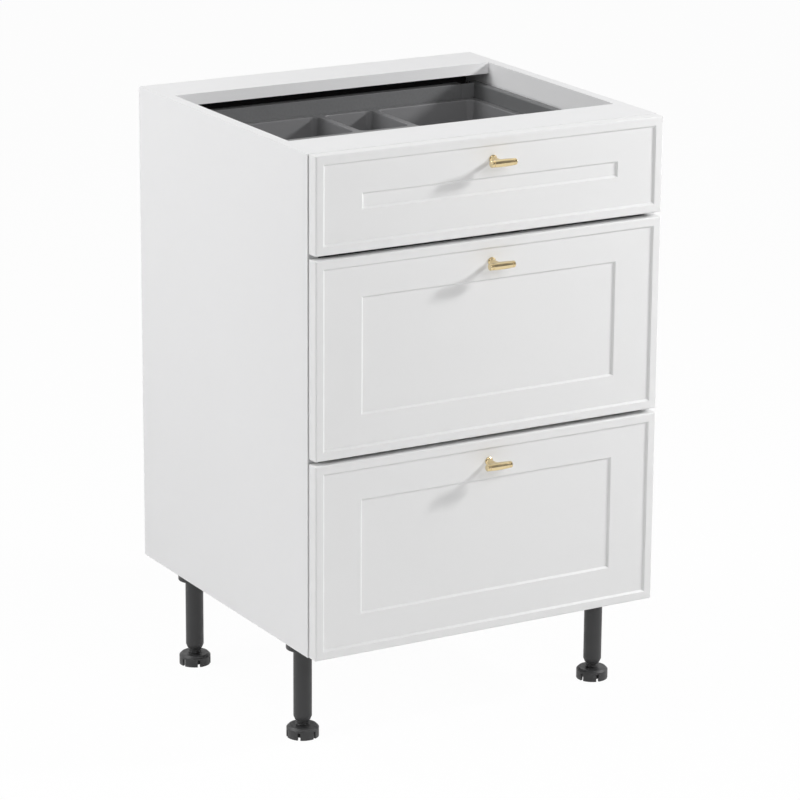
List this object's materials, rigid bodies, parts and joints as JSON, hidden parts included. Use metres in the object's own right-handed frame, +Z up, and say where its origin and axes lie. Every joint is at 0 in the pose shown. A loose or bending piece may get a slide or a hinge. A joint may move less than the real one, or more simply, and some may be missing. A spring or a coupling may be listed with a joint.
{
  "type": "kitchen base cabinet with drawers",
  "caption": "Open-topped kitchen base cabinet with framed drawer fronts, small turned bar handles, steel-sided runner drawers and adjustable round legs.",
  "frame": {"origin": "on the floor, in the middle of the object's outline from its handles to its back edge", "axes": "+Z up; the drawers open along -Y; +X to the right when facing the fronts"},
  "size_m": [0.6, 0.605, 0.928],
  "materials": {
    "beech": "bare beech",
    "black_plastic": "moulded, matt",
    "brass": "polished",
    "clear_rubber": "soft translucent pad",
    "dark_hardboard": "black coated hardboard",
    "dark_plastic": "black extruded strip",
    "grey_board": "grey faced board",
    "grey_plastic": "moulded, satin",
    "grey_steel": "grey powder coat",
    "screw_steel": "zinc plated",
    "white_board": "white melamine, fine matt",
    "white_front": "white matt lacquer",
    "zinc_steel": "zinc plated"
  },
  "bodies": {
    "cabinet": {"back_joint_strip": "dark_plastic", "back_panel_left": "dark_hardboard", "back_panel_right": "dark_hardboard", "bottom_panel": "white_board", "buffer_pads": "clear_rubber", "cabinet_members": "zinc_steel", "cam_bolts": "screw_steel", "cam_locks": "screw_steel", "front_top_rail": "white_board", "leg_screws": "screw_steel", "leg_sockets": "black_plastic", "leg_tubes": "black_plastic", "rear_top_rail": "white_board", "runner_screws": "screw_steel", "side_panel_left": "white_board", "side_panel_right": "white_board", "wooden_dowels": "beech"},
    "drawer_top": {"front_top": "white_front", "drawer_side_left_top": "grey_steel", "drawer_side_right_top": "grey_steel", "drawer_base_top": "grey_board", "drawer_back_top": "grey_board", "corner_brackets_top": "grey_steel", "drawer_members_top": "zinc_steel", "drawer_screws_top": "screw_steel", "handle_bar_top": "brass", "handle_post_top": "brass", "cutlery_tray": "grey_plastic"},
    "middle_members_top": {"middle_members_top": "zinc_steel"},
    "drawer_middle": {"front_middle": "white_front", "drawer_side_left_middle": "grey_steel", "drawer_side_right_middle": "grey_steel", "drawer_base_middle": "grey_board", "drawer_back_middle": "grey_board", "corner_brackets_middle": "grey_steel", "drawer_members_middle": "zinc_steel", "drawer_screws_middle": "screw_steel", "handle_bar_middle": "brass", "handle_post_middle": "brass", "gallery_rods_middle": "grey_steel"},
    "middle_members_middle": {"middle_members_middle": "zinc_steel"},
    "drawer_bottom": {"front_bottom": "white_front", "drawer_side_left_bottom": "grey_steel", "drawer_side_right_bottom": "grey_steel", "drawer_base_bottom": "grey_board", "drawer_back_bottom": "grey_board", "corner_brackets_bottom": "grey_steel", "drawer_members_bottom": "zinc_steel", "drawer_screws_bottom": "screw_steel", "handle_bar_bottom": "brass", "handle_post_bottom": "brass", "gallery_rods_bottom": "grey_steel"},
    "middle_members_bottom": {"middle_members_bottom": "zinc_steel"},
    "foot_front_left": {"foot_front_left": "black_plastic"},
    "foot_front_right": {"foot_front_right": "black_plastic"},
    "foot_rear_left": {"foot_rear_left": "black_plastic"},
    "foot_rear_right": {"foot_rear_right": "black_plastic"}
  },
  "joints": [
    {"name": "drawer_top_slide", "type": "slide", "parent": "cabinet", "child": "drawer_top", "axis": [0, -1, 0], "range_m": [0, 0.46]},
    {"name": "middle_members_top_slide", "type": "slide", "parent": "cabinet", "child": "middle_members_top", "axis": [0, -1, 0], "range_m": [0, 0.23]},
    {"name": "drawer_middle_slide", "type": "slide", "parent": "cabinet", "child": "drawer_middle", "axis": [0, -1, 0], "range_m": [0, 0.46]},
    {"name": "middle_members_middle_slide", "type": "slide", "parent": "cabinet", "child": "middle_members_middle", "axis": [0, -1, 0], "range_m": [0, 0.23]},
    {"name": "drawer_bottom_slide", "type": "slide", "parent": "cabinet", "child": "drawer_bottom", "axis": [0, -1, 0], "range_m": [0, 0.46]},
    {"name": "middle_members_bottom_slide", "type": "slide", "parent": "cabinet", "child": "middle_members_bottom", "axis": [0, -1, 0], "range_m": [0, 0.23]},
    {"name": "foot_front_left_height", "type": "slide", "parent": "cabinet", "child": "foot_front_left", "axis": [0, 0, -1], "range_m": [0, 0.03]},
    {"name": "foot_front_right_height", "type": "slide", "parent": "cabinet", "child": "foot_front_right", "axis": [0, 0, -1], "range_m": [0, 0.03]},
    {"name": "foot_rear_left_height", "type": "slide", "parent": "cabinet", "child": "foot_rear_left", "axis": [0, 0, -1], "range_m": [0, 0.03]},
    {"name": "foot_rear_right_height", "type": "slide", "parent": "cabinet", "child": "foot_rear_right", "axis": [0, 0, -1], "range_m": [0, 0.03]}
  ],
  "couplings": [
    {"joint": "middle_members_top_slide", "follows": "drawer_top_slide", "ratio": 0.5},
    {"joint": "middle_members_middle_slide", "follows": "drawer_middle_slide", "ratio": 0.5},
    {"joint": "middle_members_bottom_slide", "follows": "drawer_bottom_slide", "ratio": 0.5}
  ]
}
